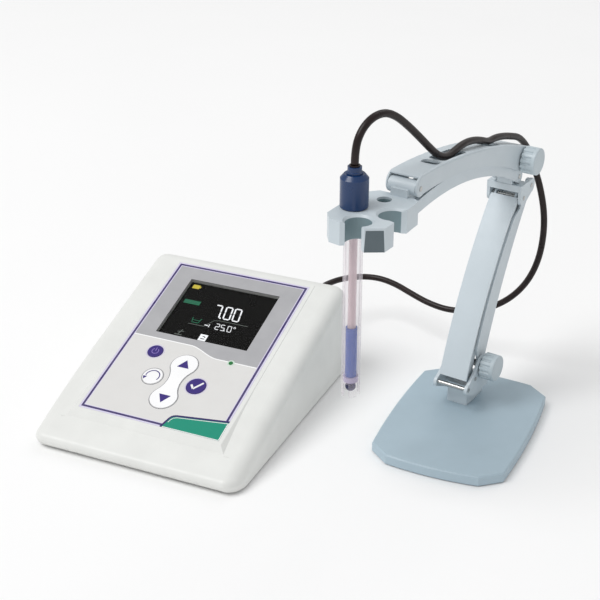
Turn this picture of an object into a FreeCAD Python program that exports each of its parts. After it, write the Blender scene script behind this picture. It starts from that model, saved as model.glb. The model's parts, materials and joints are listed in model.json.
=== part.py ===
import FreeCAD
import Part

import math
import os

from FreeCAD import Placement, Rotation, Vector

# Benchtop pH meter: a wedge-shaped console, a weighted stand with a two-stage
# parallelogram arm, and a glass electrode on a cable back to the console.
# Millimetres. X runs to the right along the bench, Y to the rear, Z up. The
# origin is on the bench, under the middle of everything but the cable.

# Console: its front edge is centred on CONSOLE_AT.
CONSOLE_AT = Vector(-77.9, -116.0, 0)
CONSOLE_WIDTH = 160.0
SPLIT_HEIGHT = 6.0
FOOT_HEIGHT = 1.5
WALL = 2.4
LABEL_WIDTH = 109.6
LABEL_LENGTH = 157.5
LABEL_THICK = 0.8
LABEL_TILT = 17.4
LABEL_FRONT = Vector(0, 19.6, 23.8)
DISPLAY_WIDTH = 74.0
DISPLAY_LENGTH = 59.0
DISPLAY_MIDDLE = 112.6
KEY_PROUD = 0.5

# Stand: the arm is drawn in its own frame, with the swivel axis at its origin.
SWIVEL_AT = CONSOLE_AT + Vector(178.7, 170.1, 0)
ARM_YAW = -9.0
PLATE_AT = CONSOLE_AT + Vector(186.6, 138.4, 0)
PLATE_WIDTH = 98.5
PLATE_LENGTH = 137.0
PLATE_TOP = 8.0
PLATE_CORNER = 14.0
PLATE_BOW = 2.5

# Pivots of the arm, as (distance to the rear of the swivel axis, height).
BASE_REAR = (0.0, 37.5)
LINK_STEP = (-12.0, -6.0)
LOWER_REACH = (61.0, 117.5)
STOP_PIN = (-22.4, 27.0)
CLAMP_PIVOT = (49.0, 178.0)
STRUT_STEP = (-1.5, -13.0)
UPPER_REACH = (-154.0, 28.5)
PIN_RADIUS = 1.6
SCREW_RADIUS = 2.5
RUNNING_GAP = 0.05

# Half widths across the arm.
CHEEK_IN = 10.9
CHEEK_OUT = 13.1
REAR_LINK_HALF = 10.4
FRONT_LINK_HALF = 8.6
SHEET = 1.5
CHANNEL_HALF = 11.0
CHANNEL_WALL = 1.5
STRUT_HALF = 9.1
TONGUE_HALF = 5.8
ROOF_MIDDLE = 206.8

# Electrode holder and electrode.
HEAD_TOP = 201.5
HEAD_BOTTOM = 186.5
PROBE_STATION = (-14.2, -140.3)
SIDE_STATION = (10.5, -137.5)
FRONT_STATION = (-1.5, -156.5)
SMALL_STATION = (-5.0, -120.5)
SIDE_NOTCH_RADIUS = 8.6
FRONT_NOTCH_RADIUS = 8.0
SMALL_HOLE_RADIUS = 4.6
SHAFT_RADIUS = 6.0
SHAFT_LENGTH = 127.0
CAP_RADIUS = 8.6
CAP_HEIGHT = 21.0
CABLE_RADIUS = 2.4


def plus(a, b):
    return (a[0] + b[0], a[1] + b[1])


BASE_FRONT = plus(BASE_REAR, LINK_STEP)
ELBOW_REAR = plus(BASE_REAR, LOWER_REACH)
ELBOW_FRONT = plus(ELBOW_REAR, LINK_STEP)
STRUT_PIVOT = plus(CLAMP_PIVOT, STRUT_STEP)
HEAD_UPPER = plus(CLAMP_PIVOT, UPPER_REACH)
HEAD_LOWER = plus(STRUT_PIVOT, UPPER_REACH)

CONSOLE = Placement(CONSOLE_AT, Rotation())
LABEL = Placement(CONSOLE_AT + LABEL_FRONT, Rotation(Vector(1, 0, 0), LABEL_TILT))
ARM = Placement(SWIVEL_AT, Rotation(Vector(0, 0, 1), ARM_YAW))
PLATE = Placement(PLATE_AT, Rotation())
HERE = Placement()
PROBE = ARM.multiply(Placement(Vector(*PROBE_STATION, 0), Rotation()))


# --- drawing helpers -------------------------------------------------------


def box(x, y, z):
    """A block from (low, high) pairs along each axis."""
    return Part.makeBox(x[1] - x[0], y[1] - y[0], z[1] - z[0], Vector(x[0], y[0], z[0]))


def rod(radius, start, along):
    """A cylinder from a point, as long as the vector along."""
    return Part.makeCylinder(radius, along.Length, start, along)


def crossbar(radius, pivot, x0, x1):
    """A cylinder across the arm, through a pivot."""
    return rod(radius, Vector(x0, *pivot), Vector(x1 - x0, 0, 0))


def post(radius, x, y, z0, z1):
    return rod(radius, Vector(x, y, z0), Vector(0, 0, z1 - z0))


def face_of(path, lift):
    """A flat face from points, where a pair of points is an arc through both."""
    edges = []
    here = path[0]
    for step in path[1:] + [path[0]]:
        if isinstance(step[0], tuple):
            edges.append(Part.Arc(lift(here), lift(step[0]), lift(step[1])).toShape())
            here = step[1]
        elif step != here:
            edges.append(Part.LineSegment(lift(here), lift(step)).toShape())
            here = step
    return Part.Face(Part.Wire(edges))


def side(path, x0, x1):
    """A solid whose outline is drawn from the side, in Y and Z."""
    return face_of(path, lambda p: Vector(x0, p[0], p[1])).extrude(Vector(x1 - x0, 0, 0))


def flat(path, z0, z1):
    """A solid whose outline is drawn from above, in X and Y."""
    return face_of(path, lambda p: Vector(p[0], p[1], z0)).extrude(Vector(0, 0, z1 - z0))


def both_sides(path, inner, outer):
    """The same plate on the right and on the left of the arm."""
    return [side(path, inner, outer), side(path, -outer, -inner)]


def fuse(first, *others):
    return first.multiFuse(list(others)).removeSplitter()


def cut(shape, *tools):
    for tool in tools:
        shape = shape.cut(tool)
    return shape


def turned(profile):
    """A solid turned about Z, from its (radius, height) outline."""
    face = face_of(profile, lambda p: Vector(p[0], 0, p[1]))
    return face.revolve(Vector(0, 0, 0), Vector(0, 0, 1), 360)


def rounded(x, y, z, radius):
    """A block with its four upright edges rounded."""
    block = box(x, y, z)
    upright = [e for e in block.Edges if abs(e.tangentAt(e.FirstParameter).z) > 0.99]
    return block.makeFillet(radius, upright)


def save(name, placement, *solids):
    """Writes one sub-part, placed in the frame of the whole object."""
    placed = []
    for solid in solids:
        copy = solid.copy()
        copy.Placement = placement.multiply(copy.Placement)
        placed.append(copy)
    shape = placed[0] if len(placed) == 1 else Part.makeCompound(placed)
    shape.exportStep("parts/%s.step" % name)


def line_height(y):
    """Height of the label's plane above the bench at a distance from the front."""
    return LABEL_FRONT.z + (y - LABEL_FRONT.y) * math.tan(math.radians(LABEL_TILT))


# --- console ---------------------------------------------------------------

BOARD_TOP = -8.0
CEILING = 3.4
JACK_HEIGHT = 38.0
JACKS = (("electrode_jack", 36.0), ("temperature_jack", 8.0), ("power_jack", -22.0))
KEYS = (
    ("power_key", -27.3, 64.0, 5.8),
    ("escape_key", -17.4, 41.0, 7.4),
    ("confirm_key", 17.4, 41.0, 7.2),
)
ROCKER_UP = 57.0
ROCKER_DOWN = 24.6
ROCKER_LOBE = 9.8
ROCKER_WAIST = 5.0
LED_AT = (31.4, 68.5)
SCREW_SPOTS = [(x, y) for x in (-64, 64) for y in (16, 170)]
FOOT_SPOTS = [(x, y) for x in (-58, 58) for y in (30, 160)]
CROWN_END = 80.0
SHOULDER = 10.0
REAR_EDGE = 172.0
REAR_ROUND = 12.0
REAR_WALL = REAR_EDGE + REAR_ROUND * (1 + math.sin(math.radians(LABEL_TILT)))


def tangent_middle(start, end, slope):
    """Half way along the arc from start to end that ends at a given slope."""
    dy, dz = end[0] - start[0], end[1] - start[1]
    chord = math.hypot(dy, dz)
    rise = chord / 2 * math.tan((math.atan2(dz, dy) - slope) / 2)
    return ((start[0] + end[0]) / 2 - rise * dz / chord, (start[1] + end[1]) / 2 + rise * dy / chord)


def console_body():
    """The outside of the console, before it is split and hollowed."""
    drop = 0.4
    tilt = math.radians(LABEL_TILT)
    nose = (-4.0, 11.4)
    crown = (CROWN_END, line_height(CROWN_END) - drop)
    rear = (REAR_EDGE, line_height(REAR_EDGE) - drop)
    centre = (rear[0] + REAR_ROUND * math.sin(tilt), rear[1] - REAR_ROUND * math.cos(tilt))
    half_way = (math.pi / 2 + tilt) / 2
    shoulder = (centre[0] + REAR_ROUND * math.cos(half_way), centre[1] + REAR_ROUND * math.sin(half_way))
    profile = [
        (-3.0, FOOT_HEIGHT),
        (-5.4, 4.0),
        ((-6.6, 8.2), nose),
        (tangent_middle(nose, crown, tilt), crown),
        rear,
        (shoulder, (REAR_WALL, centre[1])),
        (REAR_WALL, FOOT_HEIGHT),
    ]
    half = CONSOLE_WIDTH / 2
    body = side(profile, -half, half)
    return body.makeFillet(SHOULDER, [e for e in body.Edges if is_shoulder(e)])


def is_shoulder(edge):
    """Whether an edge runs from front to rear along the top of a side."""
    middle = edge.valueAt((edge.FirstParameter + edge.LastParameter) / 2)
    return abs(middle.x) > 60 and middle.z > 12 and middle.y < REAR_WALL - 0.5


def platform():
    """The raised field that carries the label, with ramps on its sides."""

    def ring(u, low, high, n):
        points = [(-u, low), (u, low), (u, high), (-u, high), (-u, low)]
        return Part.makePolygon([Vector(a, b, n) for a, b in points])

    half = LABEL_WIDTH / 2
    foot = ring(half + 10.0, -11.5, LABEL_LENGTH - 2.0, -6.0)
    top = ring(half + 3.0, -3.0, LABEL_LENGTH + 3.0, 0.0)
    return Part.makeLoft([foot, top], True, True)


def dog_bone(grow, n0, n1):
    """The arrow key's outline: two lobes joined by a waist."""
    lobe = ROCKER_LOBE + grow
    waist = ROCKER_WAIST + grow
    middle = (ROCKER_UP + ROCKER_DOWN) / 2
    lean = math.radians(52)
    dx, dy = lobe * math.sin(lean), lobe * math.cos(lean)
    path = [
        (dx, ROCKER_UP - dy),
        ((0, ROCKER_UP + lobe), (-dx, ROCKER_UP - dy)),
        ((-waist, middle), (-dx, ROCKER_DOWN + dy)),
        ((0, ROCKER_DOWN - lobe), (dx, ROCKER_DOWN + dy)),
        ((waist, middle), (dx, ROCKER_UP - dy)),
    ]
    return flat(path, n0, n1)


def key_openings(grow, n0, n1):
    """The holes that the keys and the lamp stand in."""
    holes = [post(r + grow, u, w, n0, n1) for _, u, w, r in KEYS]
    return holes + [post(1.6, *LED_AT, n0, n1), dog_bone(grow, n0, n1)]


def display_block(grow, n0, n1):
    half = DISPLAY_WIDTH / 2 + grow
    low = DISPLAY_MIDDLE - DISPLAY_LENGTH / 2 - grow
    high = DISPLAY_MIDDLE + DISPLAY_LENGTH / 2 + grow
    return box((-half, half), (low, high), (n0, n1))


def in_console(shape):
    """Moves a shape from the label's frame to the console's."""
    moved = shape.copy()
    tilt = Rotation(Vector(1, 0, 0), LABEL_TILT)
    moved.Placement = Placement(LABEL_FRONT, tilt).multiply(moved.Placement)
    return moved


def make_housing():
    half = LABEL_WIDTH / 2
    inner_half = CONSOLE_WIDTH / 2 - WALL
    rear = REAR_WALL - WALL
    body = fuse(console_body(), in_console(platform()))
    room = side(
        [
            (1.0, FOOT_HEIGHT + WALL),
            (1.0, 9.0),
            (24.0, line_height(24.0) - CEILING),
            (REAR_EDGE - 1.0, line_height(REAR_EDGE - 1.0) - CEILING),
            (rear, line_height(REAR_EDGE) - 13.0),
            (rear, FOOT_HEIGHT + WALL),
        ],
        -inner_half,
        inner_half,
    )
    cavity = room.makeFillet(SHOULDER - WALL, [e for e in room.Edges if is_shoulder(e)])
    recess = box((-half - 0.1, half + 0.1), (-0.1, LABEL_LENGTH + 0.1), (-LABEL_THICK, 5))
    upper = cut(body, cavity, in_console(recess), box((-90, 90), (-20, 220), (-1, SPLIT_HEIGHT)))
    upper = cut(upper, in_console(display_block(0.1, -8, 1)))
    upper = cut(upper, *[in_console(hole) for hole in key_openings(0.2, -9, 1)])
    for name, x in JACKS:
        hole = rod(jack_radius(name) + 0.1, Vector(x, rear - 8, JACK_HEIGHT), Vector(0, 30, 0))
        upper = upper.cut(hole)
    bosses = [post(4.0, x, y, SPLIT_HEIGHT, boss_top(y)) for x, y in SCREW_SPOTS]
    upper = fuse(upper, *bosses)
    upper = cut(upper, *[post(1.25, x, y, SPLIT_HEIGHT, boss_top(y) - 3) for x, y in SCREW_SPOTS])
    save("upper_housing", CONSOLE, upper)

    lower = cut(body.common(box((-90, 90), (-20, 220), (0, SPLIT_HEIGHT))), cavity)
    lower = cut(lower, *[post(6.2, x, y, 0, FOOT_HEIGHT + 1.0) for x, y in FOOT_SPOTS])
    lower = fuse(lower, *[post(4.0, x, y, FOOT_HEIGHT + 1, SPLIT_HEIGHT) for x, y in SCREW_SPOTS])
    lower = cut(lower, *[post(1.7, x, y, 0, SPLIT_HEIGHT) for x, y in SCREW_SPOTS])
    lower = cut(lower, *[post(3.1, x, y, 0, FOOT_HEIGHT + 2) for x, y in SCREW_SPOTS])
    save("lower_housing", CONSOLE, lower)


def boss_top(y):
    """The underside of the roof above a screw boss, with a little bite into it."""
    if y < 24:
        return 9.0 + (y - 1.0) / 23.0 * (line_height(24.0) - CEILING - 9.0) + 1.0
    return line_height(y) - CEILING + 1.0


def jack_radius(name):
    return 6.2 if name == "electrode_jack" else 4.6


def make_label():
    half = LABEL_WIDTH / 2
    label = box((-half, half), (0, LABEL_LENGTH), (-LABEL_THICK, 0))
    label = cut(label, display_block(0.1, -2, 1), *key_openings(0.2, -2, 1))
    save("control_label", LABEL, label)
    save("display_window", LABEL, display_block(0, -2.0, -0.1))
    save("lcd_module", LABEL, display_block(-1.0, -7.0, -2.3))
    lens = fuse(post(1.5, *LED_AT, -6.0, 0.4), post(2.4, *LED_AT, -6.8, -4.4))
    save("led_lens", LABEL, lens)


def make_keys():
    flange_top = -CEILING - 0.4
    for name, u, w, radius in KEYS:
        cap = post(radius, u, w, flange_top - 0.1, KEY_PROUD)
        rim = cap.Edges[0] if cap.Edges[0].BoundBox.ZMin > 0 else cap.Edges[2]
        cap = cap.makeFillet(0.3, [rim])
        flange = post(radius + 1.2, u, w, flange_top - 0.9, flange_top)
        stem = post(2.0, u, w, BOARD_TOP + 2.0, flange_top - 0.5)
        save(name, LABEL, fuse(cap, flange, stem))
    rocker = dog_bone(0.0, -2.6, KEY_PROUD)
    stems = [post(2.0, 0, w, BOARD_TOP + 2.0, -2.0) for w in (ROCKER_UP, ROCKER_DOWN)]
    save("arrow_rocker", LABEL, fuse(rocker, *stems))
    domes = [post(3.0, u, w, BOARD_TOP, BOARD_TOP + 1.3) for _, u, w, _ in KEYS]
    domes += [post(3.0, 0, w, BOARD_TOP, BOARD_TOP + 1.3) for w in (ROCKER_UP, ROCKER_DOWN)]
    save("dome_switches", LABEL, *domes)
    board = box((-50, 50), (10, 150), (BOARD_TOP - 1.6, BOARD_TOP))
    save("main_board", LABEL, board)


def make_jacks():
    rear = REAR_WALL
    for name, x in JACKS:
        radius = jack_radius(name)
        at = Vector(x, rear - WALL - 8.0, JACK_HEIGHT)
        barrel = rod(radius, at, Vector(0, 10.6, 0))
        if name == "electrode_jack":
            nose = rod(4.8, at, Vector(0, 21.0, 0))
            lugs = rod(1.0, at + Vector(-5.8, 18.0, 0), Vector(11.6, 0, 0))
            jack = cut(fuse(barrel, nose, lugs), rod(3.4, at + Vector(0, 12, 0), Vector(0, 12, 0)))
            jack = fuse(jack, rod(0.8, at + Vector(0, 11, 0), Vector(0, 8, 0)))
        else:
            ring = rod(radius + 1.4, at + Vector(0, 10.5, 0), Vector(0, 1.2, 0))
            jack = fuse(barrel, ring)
            jack = cut(jack, rod(2.75, at + Vector(0, 2, 0), Vector(0, 12, 0)))
        if name == "power_jack":
            jack = fuse(jack, rod(0.9, at + Vector(0, 1, 0), Vector(0, 8, 0)))
        save(name, CONSOLE, jack)


def make_console_trim():
    feet = [post(6.0, x, y, 0, FOOT_HEIGHT + 1.0) for x, y in FOOT_SPOTS]
    save("console_feet", CONSOLE, *feet)
    screws = []
    for x, y in SCREW_SPOTS:
        head = cut(post(2.9, x, y, FOOT_HEIGHT + 0.3, FOOT_HEIGHT + 2.0), cross_slot(x, y))
        screws.append(fuse(head, post(1.2, x, y, FOOT_HEIGHT + 2.0, SPLIT_HEIGHT + 2.5)))
    save("housing_screws", CONSOLE, *screws)


def cross_slot(x, y):
    z = (FOOT_HEIGHT, FOOT_HEIGHT + 1.1)
    return box((x - 1.8, x + 1.8), (y - 0.35, y + 0.35), z).fuse(
        box((x - 0.35, x + 0.35), (y - 1.8, y + 1.8), z)
    )


# --- stand -----------------------------------------------------------------


def plate_outline(inset):
    """The base plate from above: bowed sides and cut corners."""
    a = PLATE_WIDTH / 2 - inset
    b = PLATE_LENGTH / 2 - inset
    c = PLATE_CORNER
    bow = PLATE_BOW
    return [
        (a - bow, -b + c),
        ((a, 0), (a - bow, b - c)),
        (a - bow - c, b - bow),
        ((0, b), (-a + bow + c, b - bow)),
        (-a + bow, b - c),
        ((-a, 0), (-a + bow, -b + c)),
        (-a + bow + c, -b + bow),
        ((0, -b), (a - bow - c, -b + bow)),
    ]


def make_base():
    swivel = SWIVEL_AT - PLATE_AT
    plate = flat(plate_outline(0), 1.0, PLATE_TOP)
    top_edges = [e for e in plate.Edges if e.BoundBox.ZMin > PLATE_TOP - 0.1]
    plate = plate.makeChamfer(0.9, top_edges)
    pocket = flat(plate_outline(6.0), 0.5, 4.6)
    plate = cut(plate, pocket, post(3.2, swivel.x, swivel.y, 0, 12))
    boss = cut(post(8.0, swivel.x, swivel.y, 1.0, 5.0), post(3.2, swivel.x, swivel.y, 0, 12))
    plate = cut(fuse(plate, boss), post(5.6, swivel.x, swivel.y, 0, 3.6))
    save("base_plate", PLATE, plate)
    weight = cut(flat(plate_outline(7.0), 1.4, 4.5), post(8.6, swivel.x, swivel.y, 0, 12))
    save("base_weight", PLATE, weight)
    spots = [(x, y) for x in (-29, 29) for y in (-48, 48)]
    save("base_feet", PLATE, *[post(6.0, x, y, 0, 1.4) for x, y in spots])


def make_swivel():
    bolt = fuse(post(5.0, 0, 0, 1.2, 2.9), post(3.0, 0, 0, 2.9, 17.5))
    save("swivel_bolt", ARM, cut(bolt, post(1.8, 0, 0, 0, 2.4)))
    save("swivel_washer", ARM, cut(post(5.4, 0, 0, 2.95, 3.55), post(3.1, 0, 0, 0, 9)))


def make_turret():
    """The swivelling foot of the arm: a block with a fork of two cheeks."""
    block = rounded((-8, 8), (-13, 13), (PLATE_TOP + 0.1, 24), 1.2)
    stop = STOP_PIN
    cheek = [
        (-12.0, 18.0),
        (stop[0] - 1.0, stop[1] - 3.6),
        ((stop[0] - 3.4, stop[1] + 0.8), (stop[0] + 0.6, stop[1] + 3.8)),
        (-12.0, 37.0),
        (-5.2, 43.6),
        ((3.6, 43.6), (6.6, 36.0)),
        (9.5, 22.0),
        (9.5, 18.0),
    ]
    yoke = side([(-12.0, 18.0), (-11.0, 23.5), (9.5, 23.5), (9.5, 18.0)], -CHEEK_OUT, CHEEK_OUT)
    turret = fuse(block, yoke, *both_sides(cheek, CHEEK_IN, CHEEK_OUT))
    turret = cut(turret, post(3.0, 0, 0, 5, 17.5))
    for pivot in (BASE_FRONT, STOP_PIN):
        turret = cut(turret, crossbar(PIN_RADIUS, pivot, -20, 20))
    turret = cut(turret, crossbar(SCREW_RADIUS + RUNNING_GAP, BASE_REAR, -20, 20))
    save("turret", ARM, turret)
    reach = CHEEK_OUT + 0.4
    save("base_pins", ARM, *[crossbar(PIN_RADIUS, p, -reach, reach) for p in (BASE_FRONT, STOP_PIN)])


def make_clamp(place, pivot, face):
    """A fluted knob with its screw, and the nut on the far side."""
    y, z = pivot
    inside = face + 1.0
    knob = crossbar(9.6, pivot, inside, inside + 10.5)
    flutes = 14
    for i in range(flutes):
        turn = 2 * math.pi * i / flutes
        groove = (y + 10.0 * math.cos(turn), z + 10.0 * math.sin(turn))
        knob = knob.cut(crossbar(1.25, groove, inside - 1, inside + 7.6))
    knob = fuse(knob, crossbar(4.6, pivot, face + 0.3, inside + 0.1))
    rim = [e for e in knob.Edges if e.BoundBox.XMin > inside + 10.4]
    knob = knob.makeFillet(1.0, rim)
    knob = cut(knob, crossbar(SCREW_RADIUS, pivot, 0, inside + 7.0))
    save(place + "_knob", ARM, knob)
    save(place + "_clamp_screw", ARM, crossbar(SCREW_RADIUS, pivot, -face - 3.6, inside + 7.0))
    corners = [60 * i for i in range(6)]
    hexagon = [(y + 5.2 * math.cos(math.radians(a)), z + 5.2 * math.sin(math.radians(a))) for a in corners]
    nut = side(hexagon, -face - 3.2, -face)
    nut = cut(nut, crossbar(SCREW_RADIUS + RUNNING_GAP, pivot, -30, 30))
    save(place + "_clamp_nut", ARM, nut)


def unit(v):
    size = math.hypot(*v)
    return (v[0] / size, v[1] / size)


ALONG = unit(LOWER_REACH)
AHEAD = (-ALONG[1], ALONG[0])
LOWER_LENGTH = math.hypot(*LOWER_REACH)


def on_link(pivot, along, ahead):
    """A point beside the lower arm, measured from one of its pivots."""
    y = pivot[0] + along * ALONG[0] + ahead * AHEAD[0]
    z = pivot[1] + along * ALONG[1] + ahead * AHEAD[1]
    return (y, z)


def make_front_link():
    """The cover of the lower arm: a bowed face with two inner walls."""
    p, half = BASE_FRONT, LOWER_LENGTH / 2

    def skin(depth):
        low = on_link(p, -3.0, 9.6 - depth)
        middle = on_link(p, half, 12.8 - depth)
        high = on_link(p, LOWER_LENGTH - 1.0, 4.2 - depth)
        return low, middle, high

    front, back, bite = skin(0), skin(SHEET), skin(SHEET - 0.5)
    face = side([front[0], (front[1], front[2]), back[2], (back[1], back[0])], -10.4, 10.4)
    inner = [
        bite[0],
        (bite[1], bite[2]),
        on_link(p, LOWER_LENGTH + 1.6, 3.0),
        (on_link(p, LOWER_LENGTH + 3.4, -1.0), on_link(p, LOWER_LENGTH, -3.6)),
        (on_link(p, half, 3.2), on_link(p, 6.0, -1.0)),
        (on_link(p, -2.6, -2.6), on_link(p, -3.8, 1.0)),
    ]
    link = fuse(face, *both_sides(inner, FRONT_LINK_HALF - SHEET, FRONT_LINK_HALF))
    web = [
        on_link(p, LOWER_LENGTH - 14.0, 6.2),
        on_link(p, LOWER_LENGTH - 2.0, 3.6),
        on_link(p, LOWER_LENGTH - 5.0, -2.4),
        on_link(p, LOWER_LENGTH - 14.0, 0.0),
    ]
    ribs = [side(web, x - 0.6, x + 0.6) for x in (-3.2, 3.2)]
    link = fuse(link, *ribs)
    gap = PIN_RADIUS + RUNNING_GAP
    link = cut(link, crossbar(gap, BASE_FRONT, -20, 20), crossbar(gap + 0.05, ELBOW_FRONT, -20, 20))
    save("front_arm_link", ARM, link)


def make_rear_link():
    """The channel at the rear of the lower arm, which carries its load."""
    p, length = BASE_REAR, LOWER_LENGTH
    half = REAR_LINK_HALF

    def spine(depth):
        low = on_link(p, 7.0, depth - 5.0)
        middle = on_link(p, length / 2, depth - 1.6)
        high = on_link(p, length - 5.0, depth - 6.4)
        return low, middle, high

    back, inside = spine(0), spine(SHEET)
    wall = [
        back[0],
        (back[1], back[2]),
        (on_link(p, length + 5.0, -1.4), on_link(p, length + 3.0, 3.4)),
        on_link(p, length - 18.0, 2.6),
        on_link(p, length - 26.0, 8.6),
        (on_link(p, length * 0.45, 15.0), on_link(p, 9.0, 12.4)),
        on_link(p, 2.0, 5.4),
        (on_link(p, -5.6, 0.0), back[0]),
    ]
    web = [back[0], (back[1], back[2]), inside[2], (inside[1], inside[0])]
    link = fuse(side(web, -half, half), *both_sides(wall, half - SHEET, half))
    screw = crossbar(SCREW_RADIUS + RUNNING_GAP, BASE_REAR, -20, 20)
    link = cut(link, screw, crossbar(PIN_RADIUS + RUNNING_GAP, ELBOW_REAR, -20, 20))
    save("rear_arm_link", ARM, link)


def make_knuckle():
    """The elbow piece: a fork over the lower arm and a tongue in the upper."""
    front, rear = ELBOW_FRONT, ELBOW_REAR
    cheek = [
        (front[0] - 5.4, front[1] - 1.0),
        ((front[0] - 2.0, front[1] - 5.2), (front[0] + 4.0, front[1] - 4.4)),
        (rear[0] + 1.0, rear[1] - 5.6),
        ((rear[0] + 5.6, rear[1]), (rear[0] + 2.6, rear[1] + 4.6)),
        (53.0, 159.4),
        (front[0] - 6.0, 159.4),
    ]
    bridge = [
        (front[0] - 6.0, 154.6),
        (rear[0] - 6.6, 154.6),
        (rear[0] - 6.6, 159.4),
        (front[0] - 6.0, 159.4),
    ]
    tongue = [
        (43.4, 159.0),
        (42.0, 167.0),
        (42.4, 178.0),
        ((CLAMP_PIVOT[0], CLAMP_PIVOT[1] + 6.6), (CLAMP_PIVOT[0] + 6.6, CLAMP_PIVOT[1])),
        (54.6, 167.0),
        (54.6, 159.0),
    ]
    knuckle = fuse(
        side(bridge, -CHEEK_OUT, CHEEK_OUT),
        side(tongue, -TONGUE_HALF, TONGUE_HALF),
        crossbar(5.8, CLAMP_PIVOT, -9.3, 9.3),
        *both_sides(cheek, CHEEK_IN, CHEEK_OUT),
    )
    pins = [(front, CHEEK_OUT), (rear, CHEEK_OUT), (STRUT_PIVOT, STRUT_HALF)]
    for pivot, _ in pins:
        knuckle = cut(knuckle, crossbar(PIN_RADIUS, pivot, -20, 20))
    knuckle = cut(knuckle, crossbar(SCREW_RADIUS + RUNNING_GAP, CLAMP_PIVOT, -20, 20))
    save("elbow_knuckle", ARM, knuckle)
    save("elbow_pins", ARM, *[crossbar(PIN_RADIUS, p, -w - 0.3, w + 0.3) for p, w in pins])


def make_upper_arm():
    """The arched channel of the upper arm, with three cable slots in its roof."""
    c, e = CLAMP_PIVOT, HEAD_UPPER
    outline = [
        (e[0] - 4.4, e[1] - 1.5),
        ((e[0] - 3.4, e[1] + 4.6), (e[0] + 3.5, e[1] + 8.0)),
        ((-25.0, ROOF_MIDDLE), (c[0] + 5.0, c[1] + 8.0)),
        ((c[0] + 8.4, c[1] + 1.0), (c[0] + 1.5, c[1] - 8.2)),
        (c[0] - 6.0, c[1] - 7.4),
        ((-25.0, 194.6), (e[0] + 5.0, e[1] - 4.2)),
        ((e[0] - 0.5, e[1] - 5.4), (e[0] - 4.4, e[1] - 1.5)),
    ]
    web = CHANNEL_WALL
    room = [
        (e[0] - 20.0, 180.0),
        (e[0] - 20.0, e[1] + 5.4),
        (e[0] + 3.5, e[1] + 8.0 - web),
        ((-25.0, ROOF_MIDDLE - web), (c[0] + 5.0, c[1] + 8.0 - web)),
        (c[0] + 20.0, c[1] - 2.0),
        (c[0] + 20.0, 150.0),
    ]
    inner = CHANNEL_HALF - CHANNEL_WALL
    channel = side(outline, -CHANNEL_HALF, CHANNEL_HALF)
    edges = [x for x in channel.Edges if is_roof_edge(x)]
    channel = cut(channel.makeFillet(1.2, edges), side(room, -inner, inner))
    for low, high in ((-81.0, -73.0), (-70.0, -38.0), (-5.0, 14.0)):
        slot = rounded((-3.5, 8.5), (low, high), (190, 225), 3.0)
        channel = channel.cut(slot)
    mouth = box((-inner, inner), (e[0] - 9, e[0] + 6.4), (e[1] - 9, e[1] + 5.3))
    brow = box((-inner, inner), (e[0] - 9, e[0] - 0.5), (e[1] + 5, e[1] + 12))
    channel = cut(channel, mouth, brow, crossbar(PIN_RADIUS + RUNNING_GAP, e, -20, 20))
    channel = cut(channel, crossbar(SCREW_RADIUS + RUNNING_GAP, c, -20, 20))
    save("upper_arm_channel", ARM, channel)


def is_roof_edge(edge):
    """Whether an edge of the upper arm runs along the top of a wall."""
    middle = edge.valueAt((edge.FirstParameter + edge.LastParameter) / 2)
    return edge.Length > 100 and middle.z > 202


def make_strut():
    """The lower bar of the upper arm, which keeps the head level."""
    d, f = STRUT_PIVOT, HEAD_LOWER
    bar = [
        (f[0], f[1] - 4.2),
        ((-29.0, 187.6), (d[0], d[1] - 5.0)),
        ((d[0] + 5.0, d[1]), (d[0], d[1] + 5.0)),
        ((-29.0, 196.4), (f[0], f[1] + 4.2)),
        ((f[0] - 4.2, f[1]), (f[0], f[1] - 4.2)),
    ]
    strut = side(bar, -STRUT_HALF, STRUT_HALF)
    room = TONGUE_HALF + 0.4
    ends = [
        box((-room, room), (d[0] - 12, d[0] + 12), (d[1] - 12, d[1] + 14)),
        box((-room, room), (f[0] - 12, f[0] + 9), (f[1] - 12, f[1] + 12)),
        box((-room, room), (-92, 32), (160, 189)),
    ]
    holes = [crossbar(PIN_RADIUS + RUNNING_GAP, p, -20, 20) for p in (d, f)]
    save("upper_arm_strut", ARM, cut(strut, *ends, *holes))


# --- electrode holder and electrode -----------------------------------------


HEAD_OUTLINE = [
    (8.6, -109.0),
    (13.6, -112.0),
    (14.6, -127.5),
    (10.0, -130.0),
    (10.0, -146.0),
    (17.2, -148.0),
    (17.2, -158.0),
    (7.2, -164.8),
    (-1.5, -158.0),
    (-9.6, -164.0),
    (-17.4, -163.0),
    (-23.0, -156.0),
    (-23.6, -132.0),
    (-20.4, -127.0),
    (-20.0, -115.0),
    (-14.6, -109.0),
]


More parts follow.
